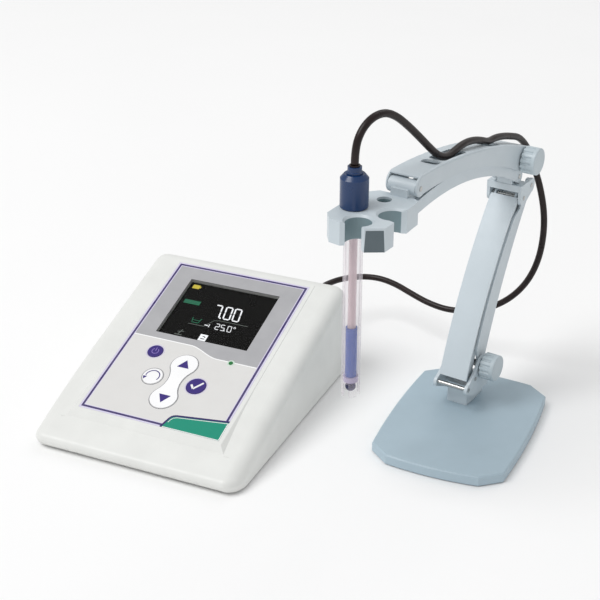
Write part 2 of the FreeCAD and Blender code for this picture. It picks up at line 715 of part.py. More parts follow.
def make_head():
    """The electrode holder: one closed station, two open ones, one small hole."""
    e, f = HEAD_UPPER, HEAD_LOWER
    block = flat(HEAD_OUTLINE, HEAD_BOTTOM, HEAD_TOP)
    notches = ((SIDE_STATION, SIDE_NOTCH_RADIUS), (FRONT_STATION, FRONT_NOTCH_RADIUS))
    for (x, y), radius in notches:
        rim = Part.makeCone(radius, radius + 1.3, 1.3, Vector(x, y, HEAD_TOP - 1.3))
        block = cut(block, post(radius, x, y, 150, 230), rim)
    block = cut(block, post(SHAFT_RADIUS + 0.3, *PROBE_STATION, 150, 230))
    block = cut(block, post(SMALL_HOLE_RADIUS, *SMALL_STATION, 150, 230))
    tongue = [(-112.0, 187.0), (-104.6, 187.6), (-100.0, 193.5), (-100.0, 206.5), (-112.0, 206.5)]
    head = fuse(block, side(tongue, -TONGUE_HALF, TONGUE_HALF), crossbar(4.8, e, -9.3, 9.3))
    relief = [crossbar(5.0, f, TONGUE_HALF, 12), crossbar(5.0, f, -12, -TONGUE_HALF)]
    head = cut(head, *relief, crossbar(PIN_RADIUS, e, -20, 20), crossbar(PIN_RADIUS, f, -20, 20))
    save("probe_head", ARM, head)
    pins = [(e, CHANNEL_HALF), (f, STRUT_HALF)]
    save("head_pins", ARM, *[crossbar(PIN_RADIUS, p, -w - 0.3, w + 0.3) for p, w in pins])


def make_probe():
    """The electrode, about its own axis, hanging by its cap from the head."""
    top = HEAD_TOP + 0.1
    tip = top - SHAFT_LENGTH
    shoulder = top + CAP_HEIGHT
    profile = [
        (0, top),
        (CAP_RADIUS - 0.6, top),
        (CAP_RADIUS, top + 0.8),
        (CAP_RADIUS, shoulder - 2.6),
        (CAP_RADIUS - 2.2, shoulder),
        (4.9, shoulder),
        (4.9, shoulder + 1.2),
        (4.3, shoulder + 1.6),
        (4.3, shoulder + 4.4),
        (0, shoulder + 4.4),
    ]
    cable_hole = post(3.2, 0, 0, shoulder + 1.0, shoulder + 9)
    save("probe_cap", PROBE, cut(turned(profile), cable_hole, post(5.0, 0, 0, top - 1, top + 12)))
    grommet = post(3.2, 0, 0, shoulder + 1.0, CABLE_ROUTE[0][2])
    save("cap_grommet", PROBE, grommet)
    outer = fuse(post(SHAFT_RADIUS, 0, 0, tip, top), post(5.0, 0, 0, top - 2, top + 12))
    outer = cut(outer, post(SHAFT_RADIUS - 1.1, 0, 0, tip - 1, top - 4))
    outer = cut(outer, post(3.6, 0, 0, top - 5, top + 13))
    slit = 1.9
    windows = [
        box((-slit, slit), (-9, 9), (tip - 1, tip + 9)),
        box((-9, 9), (-slit, slit), (tip - 1, tip + 9)),
    ]
    save("probe_shaft", PROBE, cut(outer, *windows))
    bore = post(1.9, 0, 0, tip + 12, top + 11)
    save("inner_tube", PROBE, cut(post(2.6, 0, 0, tip + 13, top + 10), bore))
    bore = post(2.7, 0, 0, tip + 12, tip + 51)
    save("reference_gel", PROBE, cut(post(3.7, 0, 0, tip + 13, tip + 47), bore))
    save("sensor_wire", PROBE, post(0.5, 0, 0, tip + 13, top + 9))
    save("reference_junction", PROBE, post(4.8, 0, 0, tip + 9.5, tip + 13.0))
    bulb = fuse(Part.makeSphere(3.4, Vector(0, 0, tip + 5.4)), post(1.8, 0, 0, tip + 7, tip + 9.5))
    save("glass_bulb", PROBE, bulb)


# --- cable -------------------------------------------------------------------

# The route from the cap of the electrode to the plug behind the console, and
# the spans it is made in. A span ends half way along the run after its last
# point, where the cable is straight, and the next one starts there.
CABLE_ROUTE = (
    (64.8, -82.3, 228.0),
    (64.8, -82.3, 237.5),
    (66.4, -78.2, 247.0),
    (69.6, -70.2, 253.0),
    (73.6, -59.9, 254.0),
    (77.4, -50.1, 249.5),
    (81.4, -39.9, 241.0),
    (85.6, -29.2, 230.8),
    (89.6, -19.0, 220.6),
    (92.8, -11.0, 213.4),
    (95.2, -0.7, 210.0),
    (96.9, 10.2, 211.4),
    (98.7, 21.5, 212.2),
    (100.6, 33.9, 210.6),
    (102.7, 46.7, 206.8),
    (104.4, 57.6, 202.4),
    (106.1, 68.4, 202.0),
    (108.1, 81.3, 199.4),
    (110.2, 94.1, 195.6),
    (112.9, 107.6, 191.0),
    (116.7, 118.3, 180.6),
    (121.0, 123.8, 165.5),
    (126.1, 127.5, 149.0),
    (130.6, 128.0, 130.0),
    (131.8, 128.0, 112.0),
    (130.0, 128.0, 92.5),
    (124.0, 128.3, 74.0),
    (113.5, 128.8, 58.0),
    (99.0, 129.3, 45.5),
    (81.0, 129.8, 37.5),
    (62.0, 130.6, 34.0),
    (44.0, 134.0, 35.0),
    (27.0, 141.0, 37.0),
    (11.0, 149.0, 38.5),
    (-5.0, 153.5, 39.0),
    (-20.5, 151.0, 38.5),
    (-33.0, 141.5, 38.0),
    (-40.0, 128.0, 38.0),
    (-41.9, 117.5, 38.0),
    (-41.9, 110.3, 38.0),
)
CABLE_SPANS = (
    ("cable_probe_rise", 3),
    ("cable_head_drop", 8),
    ("cable_arm_run", 17),
    ("cable_elbow_turn", 20),
    ("cable_back_hang", 24),
    ("cable_low_swing", 27),
    ("cable_console_run", 39),
)


def corner_arc(before, corner, after):
    """The arc round a corner of the route: its start, its middle and its end."""
    into, out = corner - before, after - corner
    reach = 0.45 * min(into.Length, out.Length)
    into.normalize()
    out.normalize()
    half_turn = into.getAngle(out) / 2
    bend = reach / math.tan(half_turn)
    start, end = corner - into * reach, corner + out * reach
    inward = ((start + end) / 2 - corner).normalize()
    return start, corner + inward * bend * (1 / math.cos(half_turn) - 1), end


def tube(here, corners, finish, radius):
    """A round cable of straight runs and tangent arcs."""
    edges = []
    aim = corners[0][0] - here
    section = Part.Wire(Part.Circle(here, aim, radius).toShape())
    for start, middle, end in corners:
        edges.append(Part.LineSegment(here, start).toShape())
        edges.append(Part.Arc(start, middle, end).toShape())
        here = end
    edges.append(Part.LineSegment(here, finish).toShape())
    return Part.Wire(edges).makePipeShell([section], True, False)


def make_cable():
    route = [Vector(*point) for point in CABLE_ROUTE]
    here = route[0]
    first = 1
    for name, last in CABLE_SPANS:
        inner = range(first, min(last, len(route) - 2) + 1)
        corners = [corner_arc(*route[i - 1 : i + 2]) for i in inner]
        finish = (route[last] + route[last + 1]) / 2 if last + 1 < len(route) else route[last]
        save(name, HERE, tube(here, corners, finish, CABLE_RADIUS))
        here = finish
        first = last + 1


def make_plug():
    """The bayonet plug on the electrode jack: body, turning collar and boot."""
    x, y = JACKS[0][1], REAR_WALL - WALL - 8.0 + 21.0
    z = JACK_HEIGHT
    body = rod(4.7, Vector(x, y + 0.1, z), Vector(0, 12, 0))
    save("plug_body", CONSOLE, body)
    collar = rod(7.3, Vector(x, y - 8.0, z), Vector(0, 13.0, 0))
    hollow = rod(6.1, Vector(x, y - 9.0, z), Vector(0, 9.2, 0))
    collar = cut(collar, hollow, rod(4.75, Vector(x, y - 9, z), Vector(0, 30, 0)))
    for i in range(16):
        turn = 2 * math.pi * i / 16
        at = Vector(x + 7.6 * math.cos(turn), y - 6.0, z + 7.6 * math.sin(turn))
        collar = collar.cut(rod(0.8, at, Vector(0, 9, 0)))
    save("plug_collar", CONSOLE, collar)
    boot = Part.makeCone(4.6, 3.3, 16.0, Vector(x, y + 12.1, z), Vector(0, 1, 0))
    save("plug_boot", CONSOLE, boot)


def main():
    os.makedirs("parts", exist_ok=True)
    make_housing()
    make_label()
    make_keys()
    make_jacks()
    make_console_trim()
    make_base()
    make_swivel()
    make_turret()
    make_clamp("base", BASE_REAR, CHEEK_OUT)
    make_clamp("elbow", CLAMP_PIVOT, CHANNEL_HALF)
    make_front_link()
    make_rear_link()
    make_knuckle()
    make_upper_arm()
    make_strut()
    make_head()
    make_probe()
    make_plug()
    make_cable()


main()
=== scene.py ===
import json
import math

import bmesh
import bpy
from mathutils import Matrix, Vector


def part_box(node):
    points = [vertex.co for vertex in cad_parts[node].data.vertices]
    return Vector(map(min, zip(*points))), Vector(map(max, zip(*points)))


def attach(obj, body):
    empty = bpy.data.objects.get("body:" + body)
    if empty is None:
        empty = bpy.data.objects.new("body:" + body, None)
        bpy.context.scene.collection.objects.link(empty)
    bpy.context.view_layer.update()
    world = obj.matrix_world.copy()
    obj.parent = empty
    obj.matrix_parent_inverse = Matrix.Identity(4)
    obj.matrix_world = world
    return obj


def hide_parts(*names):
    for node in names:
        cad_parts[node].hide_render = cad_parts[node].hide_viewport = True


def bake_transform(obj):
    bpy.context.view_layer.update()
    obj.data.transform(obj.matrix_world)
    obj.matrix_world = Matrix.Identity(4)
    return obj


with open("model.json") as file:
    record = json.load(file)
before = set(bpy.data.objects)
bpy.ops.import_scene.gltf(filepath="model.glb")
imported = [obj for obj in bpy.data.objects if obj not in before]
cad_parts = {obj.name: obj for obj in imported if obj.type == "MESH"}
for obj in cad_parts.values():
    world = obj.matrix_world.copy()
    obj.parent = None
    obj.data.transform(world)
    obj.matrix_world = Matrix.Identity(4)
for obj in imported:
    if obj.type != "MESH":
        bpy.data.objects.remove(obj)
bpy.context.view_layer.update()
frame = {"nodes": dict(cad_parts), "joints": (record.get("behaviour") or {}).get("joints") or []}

NODES = frame["nodes"]
JOINTS = {joint["name"]: joint for joint in frame["joints"]}
MM = 0.001

# --- places, from the frame --------------------------------------------------

LABEL_TILT = math.radians(17.4)
LABEL_THICK = 0.8 * MM
LABEL_LOW, LABEL_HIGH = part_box("control_label")
LABEL_ORIGIN = Vector(
    (
        (LABEL_LOW[0] + LABEL_HIGH[0]) / 2,
        LABEL_LOW[1],
        LABEL_LOW[2] + LABEL_THICK * math.cos(LABEL_TILT),
    )
)
LABEL_TURN = Matrix.Rotation(LABEL_TILT, 4, "X")
LABEL_FRAME = Matrix.Translation(LABEL_ORIGIN) @ LABEL_TURN
ARM_YAW = math.radians(-9.0)
SWIVEL = Vector(JOINTS["turret_swivel"]["pos_m"])
ARM_FRAME = Matrix.Translation(SWIVEL) @ Matrix.Rotation(ARM_YAW, 4, "Z")

# --- materials ---------------------------------------------------------------


def linear(red, green, blue):
    """A colour named by its display values, 0 to 255, as the shaders take it."""

    def one(value):
        value /= 255
        return value / 12.92 if value <= 0.04045 else ((value + 0.055) / 1.055) ** 2.4

    return (one(red), one(green), one(blue), 1.0)


class Shader:
    """A material's node tree, with short ways to add and join its nodes."""

    def __init__(self, name):
        self.material = bpy.data.materials.new(name)
        self.material.use_nodes = True
        self.tree = self.material.node_tree
        self.surface = self.tree.nodes["Principled BSDF"]

    def add(self, kind, **values):
        node = self.tree.nodes.new(kind)
        for name, value in values.items():
            setattr(node, name, value)
        return node

    def join(self, source, target):
        self.tree.links.new(source, target)

    def math(self, operation, first, second):
        node = self.add("ShaderNodeMath", operation=operation)
        for socket, value in zip(node.inputs, (first, second)):
            if isinstance(value, (int, float)):
                socket.default_value = value
            else:
                self.join(value, socket)
        return node.outputs[0]

    def place(self):
        return self.add("ShaderNodeTexCoord").outputs["Object"]

    def noise(self, scale, detail=3.0, where=None):
        node = self.add("ShaderNodeTexNoise")
        node.inputs["Scale"].default_value = scale
        node.inputs["Detail"].default_value = detail
        self.join(where or self.place(), node.inputs["Vector"])
        return node.outputs["Fac"]

    def spread(self, value, low, high, start=0.3, stop=0.7):
        node = self.add("ShaderNodeMapRange")
        node.inputs["From Min"].default_value = start
        node.inputs["From Max"].default_value = stop
        node.inputs["To Min"].default_value = low
        node.inputs["To Max"].default_value = high
        self.join(value, node.inputs["Value"])
        return node.outputs["Result"]

    def blend(self, factor, first, second):
        node = self.add("ShaderNodeMix", data_type="RGBA")
        self.join(factor, node.inputs["Factor"])
        for socket, colour in ((node.inputs[6], first), (node.inputs[7], second)):
            if isinstance(colour, tuple):
                socket.default_value = colour
            else:
                self.join(colour, socket)
        return node.outputs[2]

    def bump(self, height, strength, distance):
        node = self.add("ShaderNodeBump")
        node.inputs["Strength"].default_value = strength
        node.inputs["Distance"].default_value = distance
        self.join(height, node.inputs["Height"])
        self.join(node.outputs["Normal"], self.surface.inputs["Normal"])

    def set(self, **values):
        for name, value in values.items():
            self.surface.inputs[name.replace("_", " ")].default_value = value


def shade(colour, factor):
    return tuple(min(1.0, c * factor) for c in colour[:3]) + (1.0,)


def moulded(name, colour, rough=0.45, grain=2600, depth=0.00003, edge_highlight_and_wear=0.06, coat=0.0):
    """Injection-moulded plastic: fine spark texture, faint mottling, and paler convex edges that are a
    painted edge highlight as well as wear.
    """
    s = Shader(name)
    mottle = s.spread(s.noise(38, 4), 0.0, 1.0)
    base = s.blend(mottle, shade(colour, 0.965), shade(colour, 1.03))
    geometry = s.add("ShaderNodeNewGeometry")
    # Painted highlight and wear: convex edges lightened towards 1.25 times the colour.
    edge = s.spread(geometry.outputs["Pointiness"], 0.0, edge_highlight_and_wear * 4, 0.52, 0.62)
    base = s.blend(edge, base, shade(colour, 1.25))
    s.join(base, s.surface.inputs["Base Color"])
    s.join(s.spread(s.noise(90), rough - 0.06, rough + 0.08), s.surface.inputs["Roughness"])
    s.bump(s.noise(grain, 2), 0.35, depth)
    s.set(Coat_Weight=coat, Coat_Roughness=0.2)
    return s.material


def metal(name, colour, rough=0.28, along=(1, 1, 14)):
    """Metal with drawn or turned lines and a few dull patches."""
    s = Shader(name)
    mapping = s.add("ShaderNodeMapping")
    mapping.inputs["Scale"].default_value = along
    s.join(s.place(), mapping.inputs["Vector"])
    lines = s.noise(700, 4, mapping.outputs["Vector"])
    base = s.blend(s.spread(s.noise(120), 0, 1), shade(colour, 0.86), colour)
    s.join(base, s.surface.inputs["Base Color"])
    s.join(s.spread(lines, rough - 0.08, rough + 0.12), s.surface.inputs["Roughness"])
    s.bump(lines, 0.15, 0.00002)
    s.set(Metallic=1.0)
    return s.material


def sheath(name, colour):
    """The cable's vinyl: glossy, a little dusty, with faint marks along it."""
    s = Shader(name)
    dust = s.spread(s.noise(160, 5), 0.0, 1.0, 0.45, 0.75)
    s.join(s.blend(dust, colour, shade(colour, 1.6)), s.surface.inputs["Base Color"])
    s.join(s.spread(s.noise(60), 0.28, 0.44), s.surface.inputs["Roughness"])
    s.bump(s.noise(900, 3), 0.2, 0.00004)
    s.set(Specular_IOR_Level=0.3)
    return s.material


def clear(name, tint, rough=0.03, alpha=0.2, rim_alpha=0.75, gloss=0.5):
    """Thin clear plastic or glass, seen mostly by its edges and its gloss."""
    s = Shader(name)
    rim = s.add("ShaderNodeLayerWeight")
    rim.inputs["Blend"].default_value = 0.35
    s.join(s.blend(s.noise(50), shade(tint, 0.94), tint), s.surface.inputs["Base Color"])
    s.join(s.spread(rim.outputs["Facing"], alpha, rim_alpha, 0.2, 1.0), s.surface.inputs["Alpha"])
    s.join(s.spread(s.noise(80), rough, rough + 0.05), s.surface.inputs["Roughness"])
    s.set(IOR=1.49, Specular_IOR_Level=gloss)
    return s.material


def printed(name, colour, glow=0.0):
    """Ink or a lit display segment: even, with the slight unevenness of a print."""
    s = Shader(name)
    s.join(s.blend(s.noise(900, 2), shade(colour, 0.93), colour), s.surface.inputs["Base Color"])
    s.join(s.spread(s.noise(300), 0.32, 0.42), s.surface.inputs["Roughness"])
    if glow:
        s.set(Emission_Color=colour, Emission_Strength=glow)
    return s.material


def rubbery(name, colour):
    """Rubber: dull, mottled and finely rough."""
    s = Shader(name)
    base = s.blend(s.noise(300, 4), shade(colour, 0.8), shade(colour, 1.3))
    s.join(base, s.surface.inputs["Base Color"])
    s.join(s.spread(s.noise(120), 0.7, 0.85), s.surface.inputs["Roughness"])
    s.bump(s.noise(1800, 3), 0.5, 0.00006)
    return s.material


DIVIDER_HIGH = 76.8 * MM
DIVIDER_LOW = 69.3 * MM
DIVIDER_STEP = (-5.0 * MM, 20.0 * MM)
BORDER_IN = 2.9 * MM
BORDER_OUT = 1.2 * MM


def label_material():
    """The printed label: two greys parted by a stepped white line, in an indigo frame."""
    s = Shader("label_print")
    to_label = s.add("ShaderNodeMapping", vector_type="TEXTURE")
    to_label.inputs["Location"].default_value = LABEL_ORIGIN
    to_label.inputs["Rotation"].default_value = (LABEL_TILT, 0, 0)
    s.join(s.place(), to_label.inputs["Vector"])
    apart = s.add("ShaderNodeSeparateXYZ")
    s.join(to_label.outputs["Vector"], apart.inputs["Vector"])
    across, up = apart.outputs["X"], apart.outputs["Y"]
    step = s.add("ShaderNodeMapRange", interpolation_type="SMOOTHSTEP")
    for name, value in (
        ("From Min", DIVIDER_STEP[0]),
        ("From Max", DIVIDER_STEP[1]),
        ("To Min", DIVIDER_HIGH),
        ("To Max", DIVIDER_LOW),
    ):
        step.inputs[name].default_value = value
    s.join(across, step.inputs["Value"])
    above = s.math("SUBTRACT", up, step.outputs["Result"])
    upper, lower = linear(168, 168, 171), linear(219, 218, 216)
    base = s.blend(s.math("GREATER_THAN", above, 0.0), lower, upper)
    on_line = s.math("LESS_THAN", s.math("ABSOLUTE", above, 0.0), 0.45 * MM)
    base = s.blend(on_line, base, linear(246, 246, 246))
    half = (LABEL_HIGH[0] - LABEL_LOW[0]) / 2
    length = (LABEL_HIGH[1] - LABEL_LOW[1] - LABEL_THICK * math.sin(LABEL_TILT)) / math.cos(LABEL_TILT)
    to_side = s.math("SUBTRACT", half, s.math("ABSOLUTE", across, 0.0))
    to_end = s.math("MINIMUM", up, s.math("SUBTRACT", length, up))
    to_edge = s.math("MINIMUM", to_side, to_end)
    lilac = s.math("LESS_THAN", to_edge, BORDER_IN + 0.6 * MM)
    base = s.blend(lilac, base, linear(214, 208, 232))
    within = s.math("LESS_THAN", to_edge, BORDER_IN)
    line = s.math("MULTIPLY", within, s.math("GREATER_THAN", to_edge, BORDER_OUT))
    base = s.blend(line, base, linear(45, 26, 98))
    base = s.blend(s.spread(s.noise(70), 0.0, 0.06), base, linear(255, 255, 255))
    s.join(base, s.surface.inputs["Base Color"])
    s.join(s.spread(s.noise(200), 0.42, 0.5), s.surface.inputs["Roughness"])
    s.bump(s.noise(3200, 2), 0.25, 0.00002)
    return s.material


def display_glass():
    """The panel under the window: near black, with faint mottling."""
    s = Shader("display_glass")
    s.join(s.blend(s.noise(40), linear(12, 12, 10), linear(17, 17, 15)), s.surface.inputs["Base Color"])
    s.join(s.spread(s.noise(60), 0.25, 0.35), s.surface.inputs["Roughness"])
    s.set(Specular_IOR_Level=0.15)
    return s.material


SHELL = moulded("shell_plastic", linear(228, 229, 226), rough=0.42)
ARM_PLASTIC = moulded("arm_plastic", linear(194, 204, 210), rough=0.4, grain=2200)
PLATE_PLASTIC = moulded("plate_plastic", linear(166, 185, 196), rough=0.44, grain=2000)
KNOB_PLASTIC = moulded("knob_plastic", linear(186, 198, 204), rough=0.42)
CAP_PLASTIC = moulded("cap_plastic", linear(8, 48, 94), rough=0.3, grain=1600, edge_highlight_and_wear=0.03, coat=0.15)
VIOLET = moulded("key_violet", linear(46, 24, 116), rough=0.5, grain=3000)
KEY_WHITE = moulded("key_white", linear(245, 245, 246), rough=0.48, grain=3000)
# Painted shade: the dark grey of the holder's front prong face, which is only in shade.
PRONG_SHADE_GREY = moulded("prong_painted_shade", linear(88, 100, 106), rough=0.6, grain=1500)
# Painted shade: the darker grey of the shaded walls inside the holder's stations.
STATION_SHADE_GREY = moulded("station_painted_shade", linear(122, 142, 148), rough=0.6, grain=1500)
BLACK = moulded("jack_black", linear(28, 28, 30), rough=0.5)
BOARD = moulded("board_green", linear(22, 92, 52), rough=0.4, grain=900)
CERAMIC = moulded("ceramic", linear(176, 166, 196), rough=0.7, grain=1400, depth=0.0001)
STEEL = metal("steel", linear(190, 190, 188))
NICKEL = metal("nickel", linear(205, 203, 196), rough=0.2)
IRON = metal("cast_weight", linear(92, 92, 94), rough=0.6, along=(1, 1, 1))
RUBBER = rubbery("rubber", linear(40, 40, 42))
CABLE_SHEATH = sheath("cable_sheath", linear(30, 20, 19))
WINDOW = clear("window_clear", linear(12, 12, 14), alpha=0.1, rim_alpha=0.5, gloss=0.2)
TUBE_CLEAR = clear("electrode_tube", linear(238, 230, 238), alpha=0.1, rim_alpha=0.6)
STEM_CLEAR = clear("inner_stem", linear(236, 214, 218), alpha=0.5)
BULB = clear("membrane_glass", linear(22, 30, 84), alpha=0.9, rim_alpha=0.98)
GEL = moulded("blue_gel", linear(4, 72, 160), rough=0.2, grain=500, coat=0.4)
LABEL_INK = label_material()
DISPLAY = display_glass()
INDIGO_INK = printed("indigo_ink", linear(45, 26, 98))
WHITE_INK = printed("white_ink", linear(246, 246, 246))
GREY_INK = printed("grey_ink", linear(150, 150, 154))
GREEN_INK = printed("green_ink", linear(0, 144, 118))
LIT_WHITE = printed("lit_white", linear(240, 242, 245), 0.7)
LIT_GREEN = printed("lit_green", linear(38, 120, 88), 0.25)
LIT_YELLOW = printed("lit_yellow", linear(214, 196, 72), 0.4)
LIT_GREY = printed("lit_grey", linear(120, 128, 122), 0.1)
LED = printed("led_green", linear(22, 112, 52), 0.15)

NODE_MATERIALS = {
    SHELL: ("upper_housing", "lower_housing"),
    LABEL_INK: ("control_label",),
    WINDOW: ("display_window",),
    DISPLAY: ("lcd_module",),
    LED: ("led_lens",),
    VIOLET: ("power_key", "confirm_key"),
    KEY_WHITE: ("escape_key", "arrow_rocker"),
    STEEL: (
        "dome_switches",
        "swivel_washer",
        "swivel_bolt",
        "base_clamp_screw",
        "elbow_clamp_screw",
        "base_clamp_nut",
        "elbow_clamp_nut",
        "housing_screws",
        "base_pins",
        "elbow_pins",
        "head_pins",
        "sensor_wire",
    ),
    BOARD: ("main_board",),
    NICKEL: ("electrode_jack", "plug_body", "plug_collar"),
    BLACK: ("temperature_jack", "power_jack"),
    RUBBER: ("console_feet", "base_feet"),
    PLATE_PLASTIC: ("base_plate",),
    IRON: ("base_weight",),
    ARM_PLASTIC: (
        "turret",
        "front_arm_link",
        "rear_arm_link",
        "elbow_knuckle",
        "upper_arm_channel",
        "upper_arm_strut",
        "probe_head",
    ),
    KNOB_PLASTIC: ("base_knob", "elbow_knob"),
    CAP_PLASTIC: ("probe_cap",),
    CABLE_SHEATH: ("cap_grommet",),
    TUBE_CLEAR: ("probe_shaft",),
    STEM_CLEAR: ("inner_tube",),
    GEL: ("reference_gel",),
    CERAMIC: ("reference_junction",),
    BULB: ("glass_bulb",),
}


def dress_nodes():
    for material, names in NODE_MATERIALS.items():
        for name in names:
            mesh = NODES[name].data
            mesh.materials.clear()
            mesh.materials.append(material)


# --- mesh helpers ------------------------------------------------------------


def placed(name, data):
    """A new object in the scene that shows some data: a mesh, a lamp or a camera."""
    made = bpy.data.objects.new(name, data)
    bpy.context.scene.collection.objects.link(made)
    return made


def shown(name, mesh, material):
    """A finished mesh as an object of one material."""
    mesh.normal_update()
    data = bpy.data.meshes.new(name)
    mesh.to_mesh(data)
    mesh.free()
    data.materials.append(material)
    return placed(name, data)


def piece(name, mesh, material, body):
    """A finished mesh as a piece that rides on a body."""
    made = shown(name, mesh, material)
    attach(made, body)
    return made


def skin(mesh, rows):
    """A smooth skin over rings of points, closed by a flat face at each end."""
    for below, above in zip(rows, rows[1:]):
        for i in range(len(below)):
            j = (i + 1) % len(below)
            mesh.faces.new((below[i], below[j], above[j], above[i])).smooth = True
    mesh.faces.new(rows[0][::-1])
    mesh.faces.new(rows[-1])


def prisms(name, outlines, place, low, high, material, body):
    """Flat shapes drawn in millimetres, each raised from one height to another."""
    mesh = bmesh.new()
    for outline in outlines:
        bottom = [mesh.verts.new(place @ Vector((x * MM, y * MM, low * MM))) for x, y in outline]
        top = [mesh.verts.new(place @ Vector((x * MM, y * MM, high * MM))) for x, y in outline]
        mesh.faces.new(bottom[::-1])
        mesh.faces.new(top)
        for i in range(len(outline)):
            j = (i + 1) % len(outline)
            mesh.faces.new((bottom[i], bottom[j], top[j], top[i]))
    bmesh.ops.recalc_face_normals(mesh, faces=mesh.faces)
    return piece(name, mesh, material, body)


def stroke(points, width, closed=False):
    """The four-cornered pieces of a line drawn along some points."""
    quads = []
    ends = list(points[1:]) + ([points[0]] if closed else [])
    for (ax, ay), (bx, by) in zip(points, ends):
        length = math.hypot(bx - ax, by - ay)
        nx, ny = -(by - ay) / length * width / 2, (bx - ax) / length * width / 2
        quads.append([(ax + nx, ay + ny), (ax - nx, ay - ny), (bx - nx, by - ny), (bx + nx, by + ny)])
    return quads


def ring(x, y, radius, start=0, turn=360, steps=40):
    """Points round a circle, from an angle through a turn, in degrees."""
    count = steps if turn == 360 else steps + 1
    angles = [math.radians(start + turn * i / steps) for i in range(count)]
    return [(x + radius * math.cos(a), y + radius * math.sin(a)) for a in angles]


def lathe(name, profile, place, material, body, sides=40):
    """A closed shape turned about the place's Z axis, from (radius, height) in millimetres."""
    mesh = bmesh.new()
    rows = []
    for radius, height in profile:
        row = []
        for i in range(sides):
            angle = 2 * math.pi * i / sides
            spot = Vector((radius * math.cos(angle), radius * math.sin(angle), height)) * MM
            row.append(mesh.verts.new(place @ spot))
        rows.append(row)
    skin(mesh, rows)
    return piece(name, mesh, material, body)


# --- the label's print -------------------------------------------------------

# Heights above the label, and places and radii on it, in millimetres.
INK = (0.005, 0.045)
KEY_TOP = 0.5
KEY_INK = (KEY_TOP - 0.03, KEY_TOP + 0.03)
SCREEN_INK = (-2.29, -2.2)
ROCKER_UP = 57.0
ROCKER_DOWN = 24.6
ROCKER_LOBE = 9.8
ROCKER_WAIST = 5.0
# The angle at which the arrow key's lobes give way to its waist, in degrees.
ROCKER_LEAN = 52
POWER_KEY = (-27.3, 64.0)
POWER_RADIUS = 6.5
ESCAPE_KEY = (-17.4, 41.0)
ESCAPE_RADIUS = 8.0
CONFIRM_KEY = (17.4, 41.0)
CONFIRM_RADIUS = 7.9
LAMP = (31.4, 68.5)


def print_on_label(name, outlines, material, heights=INK, body="root"):
    return prisms(name, outlines, LABEL_FRAME, *heights, material, body)


def circle_through(a, b, c):
    """The centre and radius of the circle through three points."""
    (ax, ay), (bx, by), (cx, cy) = a, b, c
    d = 2 * (ax * (by - cy) + bx * (cy - ay) + cx * (ay - by))
    a2, b2, c2 = ax * ax + ay * ay, bx * bx + by * by, cx * cx + cy * cy
    ux = (a2 * (by - cy) + b2 * (cy - ay) + c2 * (ay - by)) / d
    uy = (a2 * (cx - bx) + b2 * (ax - cx) + c2 * (bx - ax)) / d
    return (ux, uy), math.hypot(ax - ux, ay - uy)


def dog_bone(grow):
    """The arrow key's outline, a little larger: two lobes and the waist between."""
    lobe, waist = ROCKER_LOBE + grow, ROCKER_WAIST + grow
    lean = math.radians(ROCKER_LEAN)
    dx, dy = lobe * math.sin(lean), lobe * math.cos(lean)
    middle = (ROCKER_UP + ROCKER_DOWN) / 2
    corner = (dx, ROCKER_UP - dy)
    (cx, cy), radius = circle_through(corner, (waist, middle), (dx, ROCKER_DOWN + dy))
    round_lobe = 360 - 2 * ROCKER_LEAN
    top = ring(0, ROCKER_UP, lobe, -90 + ROCKER_LEAN, round_lobe, 30)
    reach = math.degrees(math.atan2(corner[1] - cy, cx - corner[0]))
    left = ring(-cx, cy, radius, reach, -2 * reach, 16)
    bottom = ring(0, ROCKER_DOWN, lobe, 90 + ROCKER_LEAN, round_lobe, 30)
    right = ring(cx, cy, radius, 180 + reach, -2 * reach, 16)
    return top + left[1:-1] + bottom + right[1:-1]


def corner_panel():
    """The green field in the label's right front corner, under an indigo line."""
    edge = (LABEL_HIGH[0] - LABEL_LOW[0]) / 2 / MM
    rise = [(10.2, 0.0), (12.2, 6.5)]
    turn = [(13.0, 9.0), (14.2, 10.8), (16.4, 11.9)]
    far = (edge, 17.4)
    outline = [(edge, 0.0), far] + turn[::-1] + rise[::-1]
    print_on_label("corner_field", [outline], GREEN_INK)
    line = rise + turn + [far]
    print_on_label("corner_line", stroke(line, 1.5), INDIGO_INK, (0.03, 0.07))
    inside = [(x + 1.4, y - 1.3) for x, y in line[1:]]
    rim = [(rise[0][0] + 1.2, 0.4), (edge - 0.35, 0.4), (edge - 0.35, far[1] - 1.6)]
    glint = stroke(inside, 0.45) + stroke(rim, 0.6)
    print_on_label("corner_glint", glint, WHITE_INK, (0.03, 0.06))


